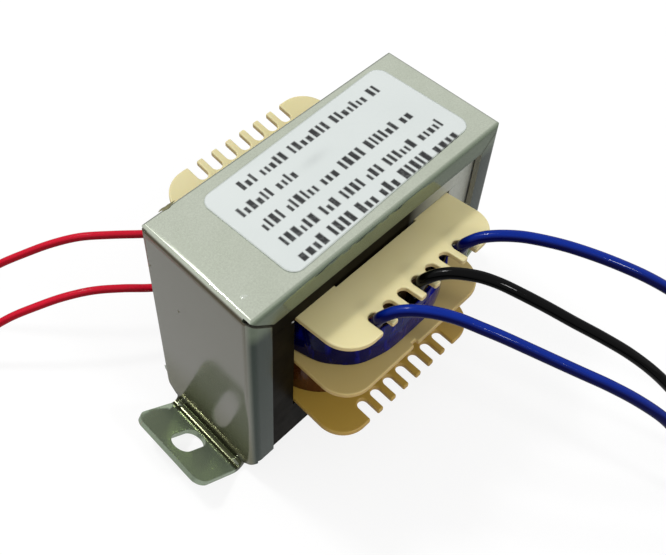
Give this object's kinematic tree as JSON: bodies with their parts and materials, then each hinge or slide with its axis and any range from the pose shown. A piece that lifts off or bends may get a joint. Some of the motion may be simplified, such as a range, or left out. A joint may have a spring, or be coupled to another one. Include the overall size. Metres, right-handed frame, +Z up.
{
  "type": "laminated chassis transformer",
  "caption": "Small laminated mains transformer in a folded steel bracket with screw feet, a flanged bobbin with wire combs, and free leads.",
  "frame": {"origin": "on the surface under the bracket's feet, at the middle of the bracket", "axes": "+X along the bracket from foot to foot, +Y through the stack of sheets from the secondary leads' side to the primary leads' side, +Z up out of the surface"},
  "size_m": [0.142, 0.1437, 0.0529],
  "materials": {
    "tinned_steel": "satin",
    "label_paper": "satin",
    "silicon_steel": "rough",
    "nylon": "satin",
    "enamelled_copper": "gloss",
    "amber_tape": "gloss",
    "blue_tape": "gloss",
    "solder": "satin",
    "blue_pvc": "gloss",
    "black_pvc": "gloss",
    "red_pvc": "gloss"
  },
  "bodies": {
    "root": {"clamp_bracket": "tinned_steel", "rating_label": "label_paper", "e_sheets_yoke_down": "silicon_steel", "e_sheets_yoke_up": "silicon_steel", "i_sheets_top": "silicon_steel", "i_sheets_bottom": "silicon_steel", "bobbin": "nylon", "primary_winding": "enamelled_copper", "primary_tape": "amber_tape", "secondary_inner_winding": "enamelled_copper", "interlayer_tape": "amber_tape", "secondary_outer_winding": "enamelled_copper", "secondary_tape": "blue_tape", "primary_splices": "solder", "secondary_splices": "solder", "blue_lead_left": "blue_pvc", "black_lead": "black_pvc", "blue_lead_right": "blue_pvc", "red_lead_upper": "red_pvc", "red_lead_lower": "red_pvc", "blue_tip_left": "solder", "black_tip": "solder", "blue_tip_right": "solder", "red_tip_upper": "solder", "red_tip_lower": "solder"}
  },
  "joints": []
}
